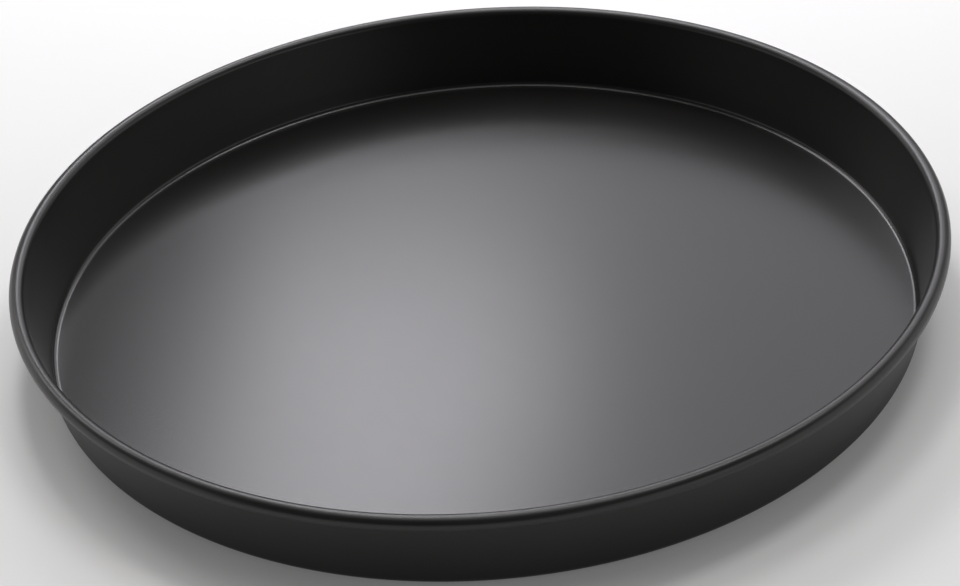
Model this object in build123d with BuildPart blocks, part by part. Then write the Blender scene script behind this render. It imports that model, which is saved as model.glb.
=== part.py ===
"""Round pizza pan: a drawn sheet-metal pan whose rim is rolled over a wire hoop.

All lengths are in millimetres. The pan stands on the XY plane with its axis on Z, and the
origin is the centre of its underside. Both pieces are turned about that axis, so the whole
shape is in one section, drawn in the XZ plane with X as the radius and Z as the height.
"""

import os
from math import acos, cos, degrees, radians, sin, tan

from build123d import *

os.makedirs("parts", exist_ok=True)

# Overall sizes
rim_diameter = 250.0  # across the outside of the rolled rim
pan_height = 25.0  # from the table to the top of the rolled rim

# Drawn sheet
sheet_thickness = 0.8
corner_radius = 1.6  # round inner corner between the cooking floor and the wall
draw_line_height = 6.7  # the faint line round the wall that the second draw leaves
draw_line_radius = 12.0  # the line is a soft bend in the sheet
wall_flare = 10.1  # degrees from upright, between the draw line and the rim
foot_flare = 8.7  # degrees from upright, below the draw line

# Rolled rim
wire_diameter = 2.3
wire_clearance = 0.05  # between the wire and the sheet that is rolled round it
curl_gap = 0.3  # between the curl's cut edge and the wall's outer face

# The bead is the wire, its clearance and the sheet round both
core_radius = wire_diameter / 2 + wire_clearance
curl_radius = core_radius + sheet_thickness / 2
bead_radius = core_radius + sheet_thickness
bead_centre = Vector(rim_diameter / 2 - bead_radius, pan_height - bead_radius)

# The middle of the sheet is found from the rim down, because the curl takes up the wall's line.
# The wall meets the curl where both have the same direction, a quarter turn from the flare.
floor_level = sheet_thickness / 2
across_wall = Vector(-cos(radians(wall_flare)), sin(radians(wall_flare)))
wall_top = bead_centre + across_wall * curl_radius
upper_rise = wall_top.Y - draw_line_height
draw_line = Vector(wall_top.X - upper_rise * tan(radians(wall_flare)), draw_line_height)
lower_rise = draw_line_height - floor_level
foot = Vector(draw_line.X - lower_rise * tan(radians(foot_flare)), floor_level)

# The curl turns until its cut edge is back at the wall, short of it by the gap
curl_turn = 360 - degrees(acos((core_radius - curl_gap) / bead_radius))

print(f"foot radius {foot.X:.2f} mm, curl {curl_turn:.1f} degrees")

# Pan: cooking floor, corner, wall and rolled rim are one sheet of even thickness
with BuildPart() as pan_shell:
    with BuildSketch(Plane.XZ):
        with BuildLine():
            floor_and_wall = FilletPolyline(
                (0, floor_level),
                foot,
                draw_line,
                wall_top,
                radius=[corner_radius + sheet_thickness / 2, draw_line_radius],
            )
            JernArc(floor_and_wall @ 1, floor_and_wall % 1, curl_radius, -curl_turn)
        trace(line_width=sheet_thickness)
    revolve(axis=Axis.Z)
pan_shell.part.label = "pan_shell"
export_step(pan_shell.part, "parts/pan_shell.step")

# Wire: a welded hoop that fills the curl
with BuildPart() as rim_wire:
    with BuildSketch(Plane.XZ):
        with Locations(bead_centre):
            Circle(wire_diameter / 2)
    revolve(axis=Axis.Z)
rim_wire.part.label = "rim_wire"
export_step(rim_wire.part, "parts/rim_wire.step")
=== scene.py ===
# %% [markdown]
# # A round pizza pan
#
# The pan is one round of dark coated sheet metal. It was drawn into a flat cooking floor and a
# low flared wall, and its rim was rolled over a hoop of steel wire. The lesson loads the packed
# CAD model as a fixed frame, turns a finer skin for both pieces from one section line, gives
# each a finish built from nodes, and lights them as on a studio table.

import bpy
import numpy as np
from mathutils import Matrix, Vector


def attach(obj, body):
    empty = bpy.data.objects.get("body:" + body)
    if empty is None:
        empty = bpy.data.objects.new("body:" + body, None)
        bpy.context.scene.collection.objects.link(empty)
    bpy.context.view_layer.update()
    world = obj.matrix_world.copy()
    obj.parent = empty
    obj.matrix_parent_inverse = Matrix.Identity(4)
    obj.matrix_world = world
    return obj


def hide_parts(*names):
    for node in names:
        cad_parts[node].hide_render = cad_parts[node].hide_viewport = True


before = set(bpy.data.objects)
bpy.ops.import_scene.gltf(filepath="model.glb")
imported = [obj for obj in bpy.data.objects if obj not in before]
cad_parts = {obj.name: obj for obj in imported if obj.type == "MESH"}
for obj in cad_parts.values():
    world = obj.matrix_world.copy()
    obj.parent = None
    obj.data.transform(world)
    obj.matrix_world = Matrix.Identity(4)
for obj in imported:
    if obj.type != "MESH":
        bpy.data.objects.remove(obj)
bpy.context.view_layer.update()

# %% [markdown]
# ## Sizes
#
# Everything is in metres and in the CAD frame, with the pan standing on the XY plane and its
# axis on Z. The sizes could be read from the frame's boxes, but the section needs the sheet's
# bends as well, so the named sizes of the part are set down here once and the rest follows.

# %% Sizes of the pan
MM = 0.001
RIM_RADIUS = 125 * MM
PAN_HEIGHT = 25 * MM
SHEET = 0.8 * MM
CORNER_RADIUS = 1.6 * MM
DRAW_LINE_HEIGHT = 6.7 * MM
DRAW_LINE_RADIUS = 12 * MM
WALL_FLARE = np.radians(10.1)
FOOT_FLARE = np.radians(8.7)
WIRE_RADIUS = 1.15 * MM
WIRE_CLEARANCE = 0.05 * MM
CURL_GAP = 0.3 * MM
EDGE_ROUND = 0.12 * MM

core_radius = WIRE_RADIUS + WIRE_CLEARANCE
curl_radius = core_radius + SHEET / 2
bead_radius = core_radius + SHEET
bead_centre = np.array([RIM_RADIUS - bead_radius, PAN_HEIGHT - bead_radius])
print("The bead is", round(2 * bead_radius / MM, 2), "mm thick, centred at", bead_centre / MM)

# %% [markdown]
# ## The section of the sheet
#
# A real pan is one sheet of even thickness, so its section is a single line, the middle of the
# sheet, made of straight runs and round bends. It could be drawn as a Bezier curve and lathed
# with a Screw modifier, but a curve's points only come near to an arc. Here the runs are worked
# out exactly, each one starting where the last one stopped and in the same direction.

# %% One run of the section
def run(start, heading, length, turn, samples):
    """A run of even curvature: the heading changes by turn over the length.

    With s from 0 to the length, the heading is heading + turn * s / length. A straight run adds
    s times the direction. A bend of radius length / turn adds the difference of the sines across
    and the difference of the cosines up. The samples crowd towards both ends of the run.
    """
    s = length * (1 - np.cos(np.pi * np.linspace(0, 1, samples))) / 2
    angle = heading + turn * s / length
    if turn == 0:
        steps = s[:, None] * np.array([np.cos(heading), np.sin(heading)])
    else:
        across = np.sin(angle) - np.sin(heading)
        up = np.cos(heading) - np.cos(angle)
        steps = length / turn * np.stack([across, up], axis=1)
    return start + steps, angle


# %% [markdown]
# The places of the bends come from the rim down. The wall takes the direction of the curl a
# quarter turn from its flare, and runs down to the faint line that the second draw leaves, where
# it bends a little, and on to the foot.

# %% Corners of the section
def slope(flare):
    """The direction up a wall that leans outwards by the flare: its sine across, cosine up."""
    return np.array([np.sin(flare), np.cos(flare)])


across_wall = np.array([-np.cos(WALL_FLARE), np.sin(WALL_FLARE)])
wall_top = bead_centre + across_wall * curl_radius
upper_length = (wall_top[1] - DRAW_LINE_HEIGHT) / np.cos(WALL_FLARE)
draw_line = wall_top - slope(WALL_FLARE) * upper_length
lower_length = (draw_line[1] - SHEET / 2) / np.cos(FOOT_FLARE)
foot = draw_line - slope(FOOT_FLARE) * lower_length
print("Foot radius", round(foot[0] / MM, 2), "mm, wall", round(upper_length / MM, 2), "mm long")

# %% [markdown]
# A bend takes a little off each straight run beside it, its radius times the tangent of half of
# its turn. The curl goes on until its cut edge is nearly back at the wall. Each run has as many
# samples as its curvature needs, so the flat floor has few for its length and the curl many.

# %% Lengths and turns of the runs
FLOOR_SAMPLES, CORNER_SAMPLES, FOOT_SAMPLES = 18, 10, 5
LINE_SAMPLES, WALL_SAMPLES, CURL_SAMPLES = 3, 7, 26

corner_bend = CORNER_RADIUS + SHEET / 2
corner_turn = np.pi / 2 - FOOT_FLARE
corner_cut = corner_bend * np.tan(corner_turn / 2)
line_turn = FOOT_FLARE - WALL_FLARE
line_cut = DRAW_LINE_RADIUS * np.tan(-line_turn / 2)
curl_turn = 2 * np.pi - np.arccos((core_radius - CURL_GAP) / bead_radius)
curl_turn = curl_turn - EDGE_ROUND / curl_radius

runs = [
    (foot[0] - corner_cut, 0, FLOOR_SAMPLES),
    (corner_bend * corner_turn, corner_turn, CORNER_SAMPLES),
    (lower_length - corner_cut - line_cut, 0, FOOT_SAMPLES),
    (DRAW_LINE_RADIUS * -line_turn, line_turn, LINE_SAMPLES),
    (upper_length - line_cut, 0, WALL_SAMPLES),
    (curl_radius * curl_turn, -curl_turn, CURL_SAMPLES),
]
print("The curl turns by", round(np.degrees(curl_turn), 1), "degrees")


# %% [markdown]
# The runs are joined end to end, starting at the centre of the floor. A run's first point is the
# last one of the run before, so it is kept once.

# %% The whole middle line
def sheet_middle(runs):
    """The points and the headings along the middle of the sheet."""
    point, heading = np.array([0, SHEET / 2]), 0.0
    points, headings = [point[None]], [np.zeros(1)]
    for length, turn, samples in runs:
        run_points, run_headings = run(point, heading, length, turn, samples)
        point, heading = run_points[-1], run_headings[-1]
        points.append(run_points[1:])
        headings.append(run_headings[1:])
    return np.concatenate(points), np.concatenate(headings)


middle, headings = sheet_middle(runs)
print(len(middle), "points along the middle of the sheet")

# %% [markdown]
# ## The skin of the sheet
#
# The sheet's two faces lie half its thickness to each side of the middle line. A Solidify
# modifier could do this, but here the same offset is one line of numpy, and it leaves the two
# faces meeting in a rounded cut edge, as a sheared and coated edge does.

# %% Both faces and the cut edge
EDGE_SAMPLES = 7


def sheet_section(middle, headings):
    """The closed section: the upper face outwards, round the cut edge, the lower face back.

    A face is the middle line plus or minus half the sheet along its normal, which is the heading
    turned by a quarter. The cut edge is half an ellipse between the two faces.
    """
    normal = np.stack([-np.sin(headings), np.cos(headings)], axis=1) * SHEET / 2
    ahead = np.array([np.cos(headings[-1]), np.sin(headings[-1])]) * EDGE_ROUND
    around = np.linspace(np.pi / 2, -np.pi / 2, EDGE_SAMPLES + 2)[1:-1, None]
    edge = middle[-1] + ahead * np.cos(around) + normal[-1] * np.sin(around)
    return np.concatenate([middle + normal, edge, (middle - normal)[::-1]])


section = sheet_section(middle, headings)
print(len(section), "points round the section, highest", round(section[:, 1].max() / MM, 3), "mm")

# %% [markdown]
# ## Turning a section
#
# Both pieces are turned, as on a lathe. Every point of the surface has two parameters: its place
# along the section, and its angle round the axis. A section that starts and ends on the axis
# closes in two poles, and one that comes back to its start, as the wire's does, closes in a ring.

# %% The turned surface
COLUMNS = 720


def turned_points(section, columns=COLUMNS):
    """The surface (r cos a, r sin a, z), r and z from the section and a round the axis."""
    angle = np.linspace(0, 2 * np.pi, columns, endpoint=False)
    radius, height = section[:, :1], section[:, 1:]
    surface = np.broadcast_arrays(radius * np.cos(angle), radius * np.sin(angle), height)
    return np.stack(surface, axis=-1)


def band_faces(first, second, columns=COLUMNS):
    """One face for each column, between the points of two neighbouring rings."""
    here = np.arange(columns)
    ahead = (here + 1) % columns
    return np.stack([first + here, second + here, second + ahead, first + ahead], axis=1)


# %% [markdown]
# The arrays become a mesh in one step. A solid has one point at each pole, with a fan of
# triangles round it, so that no hole or doubled point is left on the axis.

# %% From the surface to a mesh
def smooth_mesh(name, points, faces):
    """A smooth-shaded object at the origin, from an array of points and lists of faces."""
    mesh = bpy.data.meshes.new(name)
    mesh.from_pydata(points.reshape(-1, 3).tolist(), [], faces)
    mesh.polygons.foreach_set("use_smooth", np.ones(len(mesh.polygons), dtype=bool))
    mesh.update()
    made = bpy.data.objects.new(name, mesh)
    bpy.context.collection.objects.link(made)
    print(name + ":", len(mesh.polygons), "faces")
    return made


def turned_solid(name, section, columns=COLUMNS):
    """A solid whose section starts and ends on the axis, with one point at each pole."""
    rings = turned_points(section[1:-1], columns).reshape(-1, 3)
    poles = np.array([[0, 0, section[0, 1]], [0, 0, section[-1, 1]]])
    starts = np.arange(len(section) - 3) * columns
    bands = np.concatenate([band_faces(s, s + columns, columns) for s in starts]).tolist()
    here = np.arange(columns)
    ahead = (here + 1) % columns
    last, top, bottom = len(rings) - columns, len(rings), len(rings) + 1
    first_fan = np.stack([here, ahead, np.full(columns, top)], axis=1).tolist()
    last_fan = np.stack([last + ahead, last + here, np.full(columns, bottom)], axis=1).tolist()
    return smooth_mesh(name, np.concatenate([rings, poles]), bands + first_fan + last_fan)


def turned_ring(name, section, columns=COLUMNS):
    """A ring whose section closes on itself."""
    starts = np.arange(len(section)) * columns
    bands = [band_faces(s, t, columns) for s, t in zip(starts, np.roll(starts, -1))]
    return smooth_mesh(name, turned_points(section, columns), np.concatenate(bands).tolist())


# %% [markdown]
# ## The pan's sheet
#
# The floor, corner, wall and rolled rim are one piece of metal, so they are one mesh. It stands
# for the CAD solid of the same name, whose facets are too coarse for a satin highlight.

# %% Turn the sheet
pan_sheet = turned_solid("pan_sheet", section)

# %% [markdown]
# The coating is lighter on the ring that the pan stands on, where it rubs thin. It is lighter on
# top of the bead too, which is partly rub from stacking and partly a painted highlight. It is also
# duller where the sheet was drawn: the wall was stretched and the floor was not, and rolling the
# rim burnished it a little. Each point of the mesh keeps a number for either, found from its place
# in the section, and the finish reads both as attributes.

# %% Where the sheet is rubbed and drawn
# Reach of the lighter mark on the bead top, which is wear and a painted highlight, and of the wear
# at the foot.
BEAD_WEAR_AND_HIGHLIGHT, STAND_RUB = 1.1 * MM, 2.5 * MM
CORNER_FADE, BEAD_FADE = 0.3 * MM, 2 * MM
BURNISH = 0.4


# A lighter mark: wear on the foot's outer edge, and on the bead top wear together with a painted
# highlight.
def wear_and_highlight(radius, height):
    """One near the top of the bead, as wear and a painted highlight, and at the outer edge of the
    foot, as wear, fading to nothing.

    Each place is a bump of the form exp(-(distance / reach) squared) in the section's plane.
    """
    bead = np.hypot(radius - bead_centre[0], height - PAN_HEIGHT) / BEAD_WEAR_AND_HIGHLIGHT
    stand = np.hypot(radius - foot[0] + corner_cut, height) / STAND_RUB
    return np.exp(-bead**2) + np.exp(-stand**2) * (height < SHEET / 2)


def smooth_step(t):
    """Nothing below 0, one above 1, and 3 t squared - 2 t cubed between them."""
    t = np.clip(t, 0, 1)
    return t**2 * (3 - 2 * t)


def drawn(radius, height):
    """Nothing on the floor and one on the wall, less the burnish on the bead.

    Both changes are smooth steps: over the end of the corner, and below the bead's centre.
    """
    wall = smooth_step((radius - foot[0] + CORNER_FADE) / CORNER_FADE)
    bead = smooth_step((height - bead_centre[1] + BEAD_FADE) / BEAD_FADE)
    return wall - BURNISH * bead


# %% [markdown]
# The values are worked out for all points at once, from their radius and height, and are stored
# on the mesh under the names that the material looks for.

# %% Keep both on the mesh
def keep_values(mesh, name, values):
    """A named number on each point of a mesh, for a material to read."""
    layer = mesh.attributes.new(name, "FLOAT", "POINT")
    layer.data.foreach_set("value", values.astype(np.float32))
    print("points above one half for", name + ":", int((values > 0.5).sum()))


coordinates = np.empty(len(pan_sheet.data.vertices) * 3)
pan_sheet.data.vertices.foreach_get("co", coordinates)
x, y, z = coordinates.reshape(-1, 3).T
# Stores the lighter mark: wear at the foot, and wear with a painted highlight on the bead top.
keep_values(pan_sheet.data, "wear_and_highlight", wear_and_highlight(np.hypot(x, y), z))
keep_values(pan_sheet.data, "drawn", drawn(np.hypot(x, y), z))

# %% [markdown]
# ## The wire
#
# The rim is rolled over a hoop of drawn steel wire. It is all but hidden: only the narrow gap
# between the curl's cut edge and the wall shows it, from below.

# %% Turn the wire
def wire_section(samples=18):
    """A circle round the bead's centre, taken clockwise so that the faces point outwards."""
    around = -np.linspace(0, 2 * np.pi, samples, endpoint=False)
    return bead_centre + WIRE_RADIUS * np.stack([np.cos(around), np.sin(around)], axis=1)


wire_hoop = turned_ring("wire_hoop", wire_section())

# %% [markdown]
# ## The table
#
# The pan stands on a plain pale table, a broad round slab turned by the same functions, whose
# top is a hair below the pan so that the two surfaces don't fight. One more ring of points well
# outside the pan keeps the middle of the top flat and even.

# %% Turn the table
TABLE_TOP, TABLE_UNDERSIDE = -0.05 * MM, -0.2
TABLE_MIDDLE, TABLE_RADIUS = 0.5, 12
TABLE_COLUMNS = 96
table_section = np.array(
    [
        [0, TABLE_TOP],
        [TABLE_MIDDLE, TABLE_TOP],
        [TABLE_RADIUS, TABLE_TOP],
        [TABLE_RADIUS, TABLE_UNDERSIDE],
        [0, TABLE_UNDERSIDE],
    ]
)
table = turned_solid("table", table_section, TABLE_COLUMNS)

# %% [markdown]
# ## Node helpers
#
# A material is a small graph. Two helpers keep the cells short: one adds a node with its values,
# the other joins an output to an input.

# %% Helpers for nodes
def add(tree, kind, place, **values):
    """A new node at a place in the graph, with plain properties or input values set by name."""
    node = tree.nodes.new(kind)
    node.location = place
    for name, value in values.items():
        if hasattr(node, name):
            setattr(node, name, value)
        else:
            node.inputs[name.replace("_", " ")].default_value = value
    return node


def join(tree, source, target):
    """Links an output socket to an input socket."""
    tree.links.new(source, target)


# %% [markdown]
# The finishes are built from a few kinds of node again and again: a sum or product of two values,
# a noise, a colour between two others, a value moved to another range, and a bump. Each has a
# function that adds the node, joins what it reads and hands back its output.

# %% Functions for the common nodes
NOISE_MIDDLE = (0.3, 0.7)


def combined(tree, operation, place, first, second, **values):
    """Two values put together by a Math node."""
    node = add(tree, "ShaderNodeMath", place, operation=operation, **values)
    join(tree, first, node.inputs[0])
    join(tree, second, node.inputs[1])
    return node.outputs["Value"]


def noise(tree, place, where, scale, detail, roughness):
    """The value of a noise that is read at a place and has its scale from an output."""
    node = add(tree, "ShaderNodeTexNoise", place, Detail=detail, Roughness=roughness)
    join(tree, where, node.inputs["Vector"])
    join(tree, scale, node.inputs["Scale"])
    return node.outputs["Fac"]


def mixed(tree, place, factor, first, second):
    """A colour between two, where each is a plain colour or an output."""
    node = add(tree, "ShaderNodeMix", place, data_type="RGBA")
    join(tree, factor, node.inputs["Factor"])
    for name, colour in (("A", first), ("B", second)):
        if isinstance(colour, tuple):
            node.inputs[name].default_value = (*colour, 1)
        else:
            join(tree, colour, node.inputs[name])
    return node.outputs["Result"]


def ranged(tree, place, source, before, after, **values):
    """A value moved from one range to another."""
    node = add(tree, "ShaderNodeMapRange", place, **values)
    for name, value in zip(("From Min", "From Max", "To Min", "To Max"), (*before, *after)):
        node.inputs[name].default_value = value
    join(tree, source, node.inputs["Value"])
    return node.outputs["Result"]


def spread(tree, place, source, low, high):
    """A noise comes out near one half, so its middle is mapped to the range from low to high."""
    return ranged(tree, place, source, NOISE_MIDDLE, (low, high))


def bumped(tree, place, height, strength, distance):
    """The tilt that a height gives a surface."""
    node = add(tree, "ShaderNodeBump", place, Strength=strength, Distance=distance)
    join(tree, height, node.inputs["Height"])
    return node.outputs["Normal"]


# %% [markdown]
# Effects that more than one finish uses are node groups. A group is made once, with named inputs
# and outputs, and each material places it with its own values.

# %% Functions for groups and materials
FLOAT, VECTOR = "NodeSocketFloat", "NodeSocketVector"


def new_group(name, inputs, outputs):
    """An empty node group with float or vector sockets, and its two ends."""
    group = bpy.data.node_groups.new(name, "ShaderNodeTree")
    for socket_name, kind, default in inputs:
        socket = group.interface.new_socket(socket_name, in_out="INPUT", socket_type=kind)
        if default is not None:
            socket.default_value = default
    for socket_name, kind in outputs:
        group.interface.new_socket(socket_name, in_out="OUTPUT", socket_type=kind)
    ends_in = add(group, "NodeGroupInput", (-800, 0))
    ends_out = add(group, "NodeGroupOutput", (800, 0))
    return group, ends_in.outputs, ends_out.inputs


def place_group(tree, group, place, where, **values):
    """The outputs of a node group that reads a place and has its own values."""
    node = add(tree, "ShaderNodeGroup", place, node_tree=group)
    join(tree, where, node.inputs["Place"])
    for name, value in values.items():
        node.inputs[name.replace("_", " ")].default_value = value
    return node.outputs


def new_material(name):
    """An empty material, its graph, its Principled shader's inputs and Object coordinates."""
    material = bpy.data.materials.new(name)
    material.use_nodes = True
    tree = material.node_tree
    tree.nodes.clear()
    shader = add(tree, "ShaderNodeBsdfPrincipled", (600, 0))
    output = add(tree, "ShaderNodeOutputMaterial", (900, 0))
    where = add(tree, "ShaderNodeTexCoord", (-1000, 0))
    join(tree, shader.outputs["BSDF"], output.inputs["Surface"])
    return material, tree, shader.inputs, where.outputs["Object"]


# %% [markdown]
# ## Satin grain
#
# A baked coating and a drawn wire both have a fine skin: grains a few tenths of a millimetre
# across that scatter the light, and broad cloudy patches where the film is a little thicker.
# Both could be painted, but noise on Object coordinates has no seam and no stretching. The group
# gives the two as values from 0 to 1 and each material decides how much they change.

# %% Group: satin_grain
satin_grain, given, wanted = new_group(
    "satin_grain",
    [("Place", VECTOR, None), ("Grain Scale", FLOAT, 2500.0), ("Cloud Scale", FLOAT, 35.0)],
    [("Grain", FLOAT), ("Cloud", FLOAT)],
)
where = given["Place"]
grain = noise(satin_grain, (-400, 200), where, given["Grain Scale"], detail=3.0, roughness=0.6)
cloud = noise(satin_grain, (-400, -200), where, given["Cloud Scale"], detail=4.0, roughness=0.55)
join(satin_grain, grain, wanted["Grain"])
join(satin_grain, cloud, wanted["Cloud"])
print("satin_grain:", len(satin_grain.nodes), "nodes")

# %% [markdown]
# ## Turned marks
#
# A die leaves faint marks that run round the axis on the floor and along the pull on the wall. A
# texture of rings could be painted by hand. Here noise is read at a place built from the radius
# and height alone, which is the same all the way round, and again at a place squeezed along Z,
# which draws it out into upright streaks.

# %% Group: draw_marks
STREAK_SQUEEZE = 0.06
draw_marks, given, wanted = new_group(
    "draw_marks",
    [("Place", VECTOR, None), ("Ring Scale", FLOAT, 900.0), ("Streak Scale", FLOAT, 260.0)],
    [("Rings", FLOAT), ("Streaks", FLOAT)],
)
axes = add(draw_marks, "ShaderNodeSeparateXYZ", (-600, 100))
flat = add(draw_marks, "ShaderNodeCombineXYZ", (-450, 250))
radius = add(draw_marks, "ShaderNodeVectorMath", (-300, 250), operation="LENGTH")
ring_place = add(draw_marks, "ShaderNodeCombineXYZ", (-150, 200))
squeezed = add(draw_marks, "ShaderNodeMath", (-300, -200), operation="MULTIPLY")
squeezed.inputs[1].default_value = STREAK_SQUEEZE
streak_place = add(draw_marks, "ShaderNodeCombineXYZ", (-150, -100))
join(draw_marks, given["Place"], axes.inputs["Vector"])
for axis in "XY":
    join(draw_marks, axes.outputs[axis], flat.inputs[axis])
    join(draw_marks, axes.outputs[axis], streak_place.inputs[axis])
join(draw_marks, flat.outputs["Vector"], radius.inputs[0])
join(draw_marks, radius.outputs["Value"], ring_place.inputs["X"])
join(draw_marks, axes.outputs["Z"], ring_place.inputs["Y"])
join(draw_marks, axes.outputs["Z"], squeezed.inputs[0])
join(draw_marks, squeezed.outputs["Value"], streak_place.inputs["Z"])

# %% [markdown]
# Both places are ready, so each gets its noise, and the group hands the two values out.

# %% The two noises of draw_marks
where = ring_place.outputs["Vector"]
rings = noise(draw_marks, (50, 200), where, given["Ring Scale"], detail=4.0, roughness=0.7)
where = streak_place.outputs["Vector"]
streaks = noise(draw_marks, (50, -100), where, given["Streak Scale"], detail=3.0, roughness=0.6)
join(draw_marks, rings, wanted["Rings"])
join(draw_marks, streaks, wanted["Streaks"])
print("draw_marks:", len(draw_marks.nodes), "nodes")

# %% [markdown]
# ## The dark coating
#
# The whole sheet wears one dark, smooth, satin coating, nearly black with a slight warm cast.
# It isn't metallic to the eye: it mirrors little when seen from above and much more at a glance,
# as a lacquer does, so it is a dielectric of ordinary refractive index over a dark colour.

# %% Material: dark_coated_sheet
coating, tree, shader, where = new_material("dark_coated_sheet")
shader["IOR"].default_value = 1.5
grains = place_group(tree, satin_grain, (-700, 300), where, Grain_Scale=3000.0, Cloud_Scale=28.0)
marks = place_group(tree, draw_marks, (-700, -100), where, Ring_Scale=700.0, Streak_Scale=220.0)
# Reads the lighter mark: wear at the foot, and wear with a painted highlight on the bead top.
wear_and_highlight_node = add(tree, "ShaderNodeAttribute", (-700, -400), attribute_name="wear_and_highlight")
drawn_node = add(tree, "ShaderNodeAttribute", (-700, -700), attribute_name="drawn")

# %% [markdown]
# The colour moves a little between two dark tones with the clouds in the film. It lightens at the
# foot, where the sheet is rubbed, and on top of the bead, where the lighter tone is partly wear
# and partly a painted highlight. The clouds break both up as well.

# %% Colour of the coating
DARK, LESS_DARK = (0.0092, 0.0087, 0.0082), (0.0118, 0.0112, 0.0106)
# A lighter tone: wear at the foot, and partly a painted highlight on the bead top.
WORN_AND_HIGHLIGHT = (0.045, 0.043, 0.045)
patches = spread(tree, (-550, -500), grains["Cloud"], low=0.2, high=1.0)
wear_and_highlight_amount = combined(
    tree, "MULTIPLY", (-400, -400), wear_and_highlight_node.outputs["Fac"], patches, use_clamp=True
)
cloudiness = spread(tree, (-300, 300), grains["Cloud"], low=0.0, high=1.0)
tone = mixed(tree, (-100, 300), cloudiness, DARK, LESS_DARK)
join(tree, mixed(tree, (150, 300), wear_and_highlight_amount, tone, WORN_AND_HIGHLIGHT), shader["Base Color"])

# %% [markdown]
# The roughness rises from the floor to the drawn wall and rim, and moves a little with the
# clouds and the upright streaks.

# %% Roughness of the coating
FLOOR_ROUGHNESS, DRAWN_ROUGHNESS = 0.266, 0.41
CLOUD_CHANGE, STREAK_CHANGE = 0.004, 0.003
drawn_share = drawn_node.outputs["Fac"]
dulled = ranged(tree, (-300, -700), drawn_share, (0, 1), (FLOOR_ROUGHNESS, DRAWN_ROUGHNESS))
clouded = spread(tree, (-300, 0), grains["Cloud"], -CLOUD_CHANGE, CLOUD_CHANGE)
streaked = spread(tree, (-300, -200), marks["Streaks"], -STREAK_CHANGE, STREAK_CHANGE)
change = combined(tree, "ADD", (0, 0), clouded, streaked)
join(tree, combined(tree, "ADD", (200, -100), change, dulled), shader["Roughness"])

# %% [markdown]
# The relief is far below a tenth of a millimetre: the grain of the film, and the die's rings.
# A Bump node turns the sum of both heights into a tilt of the surface.

# %% Relief of the coating
ring_height = spread(tree, (-300, -400), marks["Rings"], low=0.0, high=0.5)
relief = combined(tree, "ADD", (0, -300), grains["Grain"], ring_height)
tilt = bumped(tree, (300, -300), relief, strength=0.03, distance=0.02 * MM)
join(tree, tilt, shader["Normal"])
pan_sheet.data.materials.append(coating)
print("dark_coated_sheet:", len(tree.nodes), "nodes")

# %% [markdown]
# ## The wire's steel
#
# Drawn wire is bright grey steel with fine lines round the hoop along its length, and it dulls
# in patches. It is a metal, so its colour is in its reflection.

# %% Material: rim_wire_steel
DULL_STEEL, BRIGHT_STEEL = (0.30, 0.29, 0.28), (0.46, 0.46, 0.46)
steel, tree, shader, where = new_material("rim_wire_steel")
shader["Metallic"].default_value = 1.0
grains = place_group(tree, satin_grain, (-700, 300), where, Grain_Scale=4000.0, Cloud_Scale=60.0)
marks = place_group(tree, draw_marks, (-700, -100), where, Ring_Scale=6000.0, Streak_Scale=300.0)
cloudiness = spread(tree, (-200, 300), grains["Cloud"], low=0.0, high=1.0)
join(tree, mixed(tree, (100, 300), cloudiness, DULL_STEEL, BRIGHT_STEEL), shader["Base Color"])
join(tree, spread(tree, (-200, 0), grains["Grain"], low=0.32, high=0.45), shader["Roughness"])
tilt = bumped(tree, (300, -300), marks["Rings"], strength=0.3, distance=0.01 * MM)
join(tree, tilt, shader["Normal"])
wire_hoop.data.materials.append(steel)
print("rim_wire_steel:", len(tree.nodes), "nodes")

# %% [markdown]
# ## The table's surface
#
# A studio table is a pale, dull, almost even sheet. Its tone moves by a hundredth with the
# clouds, and it has hardly any shine of its own, so that it shows the pan's shadow and no mirror
# image of the pan.

# %% Material: table_top
TABLE_TONE, TONE_CHANGE = 0.86, 0.01
table_top, tree, shader, where = new_material("table_top")
grains = place_group(tree, satin_grain, (-700, 300), where, Grain_Scale=900.0, Cloud_Scale=4.0)
cloudiness = spread(tree, (-200, 300), grains["Cloud"], low=0.0, high=1.0)
darker, lighter = (TABLE_TONE - TONE_CHANGE,) * 3, (TABLE_TONE + TONE_CHANGE,) * 3
join(tree, mixed(tree, (100, 300), cloudiness, darker, lighter), shader["Base Color"])
shader["Roughness"].default_value = 0.9
shader["Specular IOR Level"].default_value = 0.1

# %% [markdown]
# What the camera and a reflection see of the table is lifted a little to white by a weak glow,
# and the pan's shadow stays. Far from the pan, where the lamps' light gives out, the glow takes
# over, so that the table goes on into a white background.

# %% Glow of the table
TABLE_GLOW, FAR_GLOW = 0.08, 0.9
FAR_START, FAR_END = 0.35, 1.6
rays = add(tree, "ShaderNodeLightPath", (-400, -400)).outputs
distance = add(tree, "ShaderNodeVectorMath", (-200, -600), operation="LENGTH")
join(tree, where, distance.inputs[0])
seen = combined(tree, "MAXIMUM", (-200, -400), rays["Is Camera Ray"], rays["Is Glossy Ray"])
seen = combined(tree, "MAXIMUM", (0, -400), seen, rays["Is Transmission Ray"])
far = ranged(
    tree,
    (0, -600),
    distance.outputs["Value"],
    (FAR_START, FAR_END),
    (TABLE_GLOW, FAR_GLOW),
    interpolation_type="SMOOTHSTEP",
)
shader["Emission Color"].default_value = (1, 1, 1, 1)
join(tree, combined(tree, "MULTIPLY", (200, -400), seen, far), shader["Emission Strength"])
table.data.materials.append(table_top)
print("table_top:", len(tree.nodes), "nodes")

# %% [markdown]
# ## Light
#
# The pan is lit from behind, so that its floor shows a long soft gleam. Two narrow boxes stand
# close, one on each side of the middle, and shape the gleam. The others stand further off: high
# ones carry most of the light on the table, and dim broad ones all round, far enough away to
# light the table evenly, give the bead a soft even shine. The close ones are a little cooler.

# %% A soft box
COOL, WARM = (0.965, 0.950, 1.0), (1.0, 0.985, 0.975)


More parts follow.
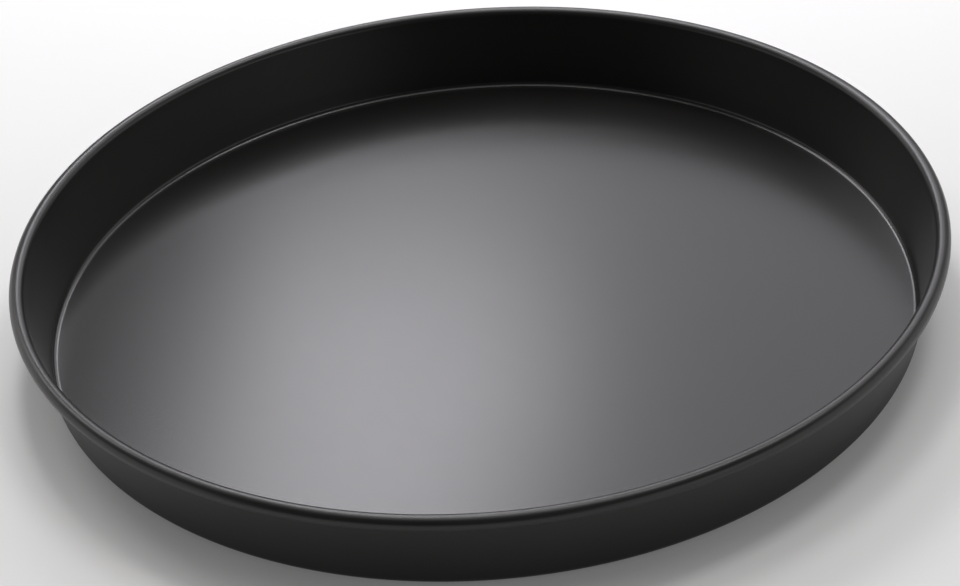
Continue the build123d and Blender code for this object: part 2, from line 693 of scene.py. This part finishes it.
def soft_box(name, azimuth, elevation, distance, width, height, brightness, colour=WARM, roll=0):
    """An area lamp on a sphere round the pan, facing its centre and rolled about that line.

    Azimuth 0 is away from the camera and 90 to its right. All angles are in degrees. The lamp's
    power is pi times its area times how bright its face is.
    """
    a, e = np.radians(azimuth), np.radians(elevation)
    place = distance * Vector((np.sin(a) * np.cos(e), np.cos(a) * np.cos(e), np.sin(e)))
    lamp = bpy.data.lights.new(name, "AREA")
    lamp.shape = "RECTANGLE"
    lamp.size, lamp.size_y = width, height
    lamp.energy = np.pi * width * height * brightness
    lamp.color = colour
    made = bpy.data.objects.new(name, lamp)
    turned = place.to_track_quat("Z", "Y").to_matrix() @ Matrix.Rotation(np.radians(roll), 3, "Z")
    made.matrix_world = Matrix.Translation(place) @ turned.to_4x4()
    bpy.context.collection.objects.link(made)
    print(name, "power", round(lamp.energy, 2), "W")


# %% [markdown]
# Each box is set by its direction, its distance, its width and height and how bright its face
# is. The high ones stand 1.6 m away and the low ones 3.4 m.

# %% All soft boxes
HIGH, LOW = 1.6, 3.4
soft_box("gleam_box", -8.9, 43.3, 0.80, 0.19, 0.33, 8.3, COOL, roll=-26.8)
soft_box("side_gleam_box", 19.4, 37.1, 0.60, 0.29, 0.55, 1.55, COOL, roll=42.0)
soft_box("high_box", -10.0, 66.0, HIGH, 0.23, 0.45, 11.0)
soft_box("high_right_box", 57.5, 66.0, HIGH, 0.29, 0.45, 8.5)
soft_box("top_box", 0.0, 86.0, HIGH, 1.20, 1.10, 1.0)
soft_box("left_box", -42.0, 41.0, HIGH, 0.46, 0.45, 4.6)
soft_box("low_left_box", -50.0, 16.0, LOW, 1.59, 1.70, 1.0)
soft_box("low_right_box", 32.0, 22.0, LOW, 0.89, 0.83, 0.6)
soft_box("left_panel", -90.0, 11.0, LOW, 3.55, 1.19, 0.8)
soft_box("right_panel", 80.0, 16.0, LOW, 4.17, 1.79, 0.8)
soft_box("front_strip", 135.0, 10.0, LOW, 2.44, 0.96, 1.3)

# %% [markdown]
# A weak even light from all round stands for the room. Colours are shown as they are, with the
# Standard view.

# %% World
WORLD_STRENGTH = 0.08
world = bpy.data.worlds.new("studio")
world.use_nodes = True
room = world.node_tree.nodes["Background"].inputs
room["Color"].default_value = (1, 1, 1, 1)
room["Strength"].default_value = WORLD_STRENGTH
bpy.context.scene.world = world
bpy.context.scene.view_settings.view_transform = "Standard"
print("world strength", WORLD_STRENGTH)

# %% [markdown]
# ## Camera
#
# The photograph looks down at a little over a third of a right angle through a long lens, turned
# a little on its own axis. The camera's axes are built from that tilt and roll.

# %% Camera
FRAME_WIDTH = 960
FOCAL_LENGTH_PIXELS = 2420.6
SENSOR_WIDTH_MM = 36
CAMERA_TILT = np.radians(34.003)
CAMERA_ROLL = np.radians(-5.101)
CAMERA_DISTANCE = 5.2921 * RIM_RADIUS
CAMERA_ASIDE = (0.00583 * RIM_RADIUS, -0.01364 * RIM_RADIUS)

back = np.array([0, -np.cos(CAMERA_TILT), np.sin(CAMERA_TILT)])
level = np.array([1.0, 0.0, 0.0])
upright = np.cross(back, level)
right = np.cos(CAMERA_ROLL) * level + np.sin(CAMERA_ROLL) * upright
up = np.cos(CAMERA_ROLL) * upright - np.sin(CAMERA_ROLL) * level
stand = CAMERA_DISTANCE * back - CAMERA_ASIDE[0] * right - CAMERA_ASIDE[1] * up
facing = Matrix(np.stack([right, up, back], axis=1).tolist())

lens = bpy.data.cameras.new("camera")
lens.sensor_width = SENSOR_WIDTH_MM
lens.lens = FOCAL_LENGTH_PIXELS * SENSOR_WIDTH_MM / FRAME_WIDTH
camera = bpy.data.objects.new("camera", lens)
camera.matrix_world = Matrix.Translation(Vector(stand)) @ facing.to_4x4()
bpy.context.collection.objects.link(camera)
bpy.context.scene.camera = camera
print("lens", round(lens.lens, 2), "mm, camera", [round(v, 4) for v in stand])

# %% [markdown]
# ## Finish
#
# Both pieces ride on the part's one body and stand for their CAD solids, which are hidden.

# %% Rides, and the CAD solids hidden
for piece, node, slot in (
    (pan_sheet, "pan_shell", "dark_coated_sheet"),
    (wire_hoop, "rim_wire", "rim_wire_steel"),
):
    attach(piece, "root")
    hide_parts(node)

bpy.context.view_layer.update()
